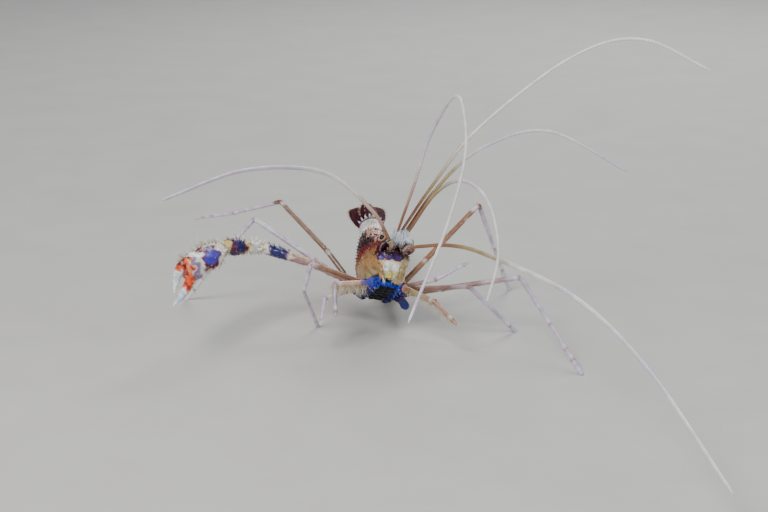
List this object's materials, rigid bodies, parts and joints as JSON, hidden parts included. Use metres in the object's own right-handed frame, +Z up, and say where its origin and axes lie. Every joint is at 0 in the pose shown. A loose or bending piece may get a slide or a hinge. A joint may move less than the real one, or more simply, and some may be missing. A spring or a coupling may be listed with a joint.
{
  "type": "banded boxer shrimp (cleaner shrimp)",
  "caption": "Cleaner shrimp as a still life-size model: spiny banded body, long white feelers, one great banded claw held out, standing on slender walking legs.",
  "frame": {"origin": "on the floor, under the centre of the whole model's box", "axes": "+Z up; the shrimp faces -Y with its head turned a little to +X; +X is its left"},
  "size_m": [0.1092, 0.1624, 0.0634],
  "materials": {
    "shell": "glossy translucent tan shell with purple face band and white patch",
    "banded": "glossy shell in crimson, white and dark bands",
    "maroon": "glossy dark maroon shell",
    "blue": "vivid blue leg bases",
    "limb": "translucent tan limbs turning lilac white",
    "claw": "white claw shell with blue, purple, red and orange bands",
    "feeler": "white feelers, brown near the head",
    "eye": "glossy black eye"
  },
  "bodies": {
    "root": {"carapace": "shell", "sternum": "blue", "abdomen_1": "banded", "abdomen_2": "banded", "abdomen_3": "banded", "abdomen_4": "banded", "abdomen_5": "maroon", "abdomen_6": "maroon", "telson": "maroon", "uropod_left": "maroon", "uropod_right": "maroon", "eye_left": "eye", "antennal_scale_left": "shell", "antenna_base_left": "shell", "antennule_base_left": "shell", "antenna_left_1": "feeler", "antenna_left_2": "feeler", "antenna_left_3": "feeler", "antennule_left_outer_1": "feeler", "antennule_left_outer_2": "feeler", "antennule_left_inner_1": "feeler", "antennule_left_inner_2": "feeler", "maxilliped_left": "limb", "leg_1_left_upper": "limb", "leg_1_left_lower": "limb", "leg_2_left_upper": "limb", "leg_2_left_lower": "limb", "leg_4_left_upper": "limb", "leg_4_left_lower": "limb", "leg_5_left_upper": "limb", "leg_5_left_lower": "limb", "claw_left_arm": "limb", "claw_left_wrist": "claw", "claw_left_palm": "claw", "claw_left_moving_finger": "claw", "eye_right": "eye", "antennal_scale_right": "shell", "antenna_base_right": "shell", "antennule_base_right": "shell", "antenna_right_1": "feeler", "antenna_right_2": "feeler", "antenna_right_3": "feeler", "antennule_right_outer_1": "feeler", "antennule_right_outer_2": "feeler", "antennule_right_inner_1": "feeler", "antennule_right_inner_2": "feeler", "maxilliped_right": "limb", "leg_1_right_upper": "limb", "leg_1_right_lower": "limb", "leg_2_right_upper": "limb", "leg_2_right_lower": "limb", "leg_4_right_upper": "limb", "leg_4_right_lower": "limb", "leg_5_right_upper": "limb", "leg_5_right_lower": "limb", "claw_right_arm": "limb", "claw_right_wrist": "claw", "claw_right_palm": "claw", "claw_right_moving_finger": "claw"}
  },
  "joints": []
}
